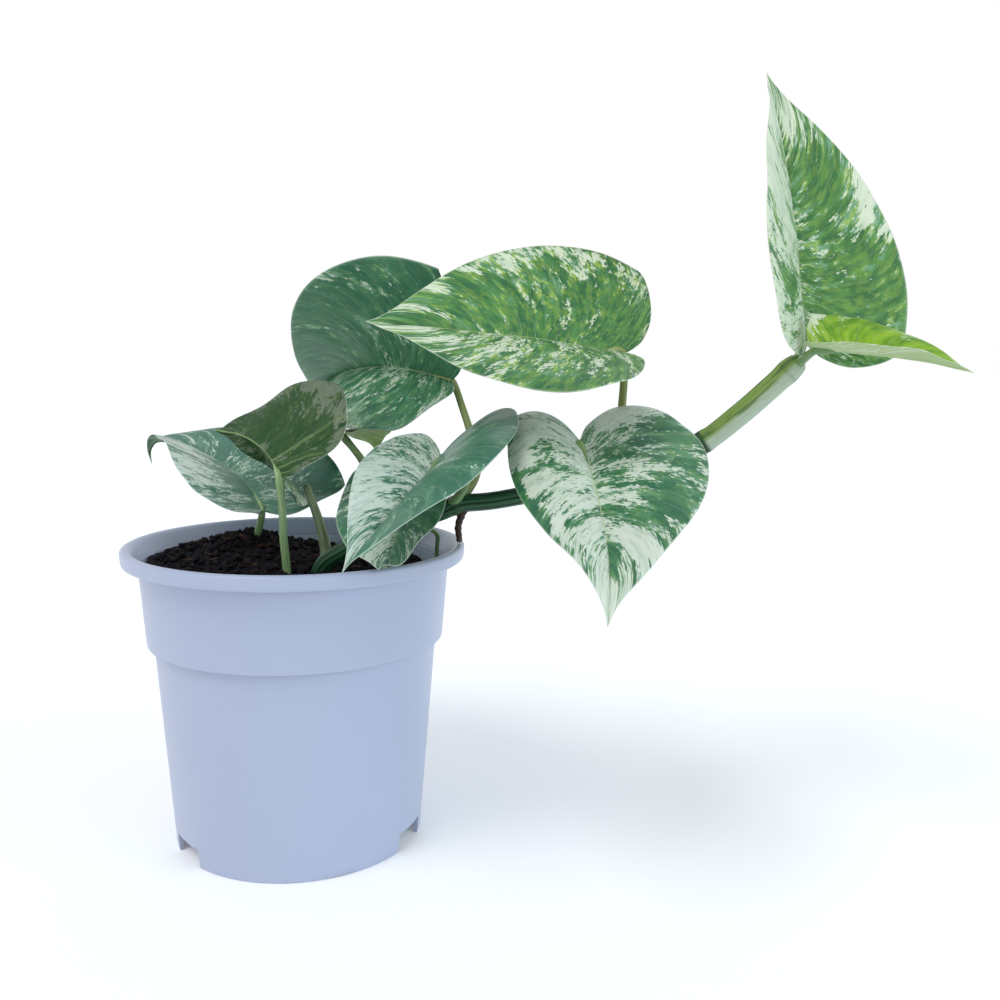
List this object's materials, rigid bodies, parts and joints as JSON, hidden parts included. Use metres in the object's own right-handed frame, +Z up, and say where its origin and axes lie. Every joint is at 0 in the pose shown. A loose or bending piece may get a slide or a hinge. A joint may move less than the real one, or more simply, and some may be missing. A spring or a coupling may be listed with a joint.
{
  "type": "potted pothos plant",
  "caption": "Marble pothos trailing sideways out of a white round nursery pot with a lipped rim, a stepped collar and drain notches in its foot.",
  "frame": {"origin": "middle of the pot's base, on the surface it stands on", "axes": "+Z up, +X the way the vine trails, -Y the pot's front"},
  "size_m": [0.2772, 0.1824, 0.2509],
  "materials": {
    "pot_plastic": "satin",
    "soil": "matte",
    "leaf": "satin",
    "stem": "satin",
    "root": "matte"
  },
  "bodies": {
    "root": {"pot": "pot_plastic", "soil": "soil", "main_vine": "stem", "petiole_1": "stem", "petiole_2": "stem", "petiole_3": "stem", "petiole_4": "stem", "petiole_5": "stem", "petiole_6": "stem", "petiole_7": "stem", "petiole_8": "stem", "petiole_9": "stem", "petiole_10": "stem", "cut_petiole_stub": "stem", "feeder_root": "stem", "aerial_root": "root", "leaf_1": "leaf", "leaf_2": "leaf", "leaf_3": "leaf", "leaf_4": "leaf", "leaf_5": "leaf", "leaf_6": "leaf", "leaf_7": "leaf", "leaf_8": "leaf", "leaf_9": "leaf", "leaf_10": "leaf"}
  },
  "joints": []
}
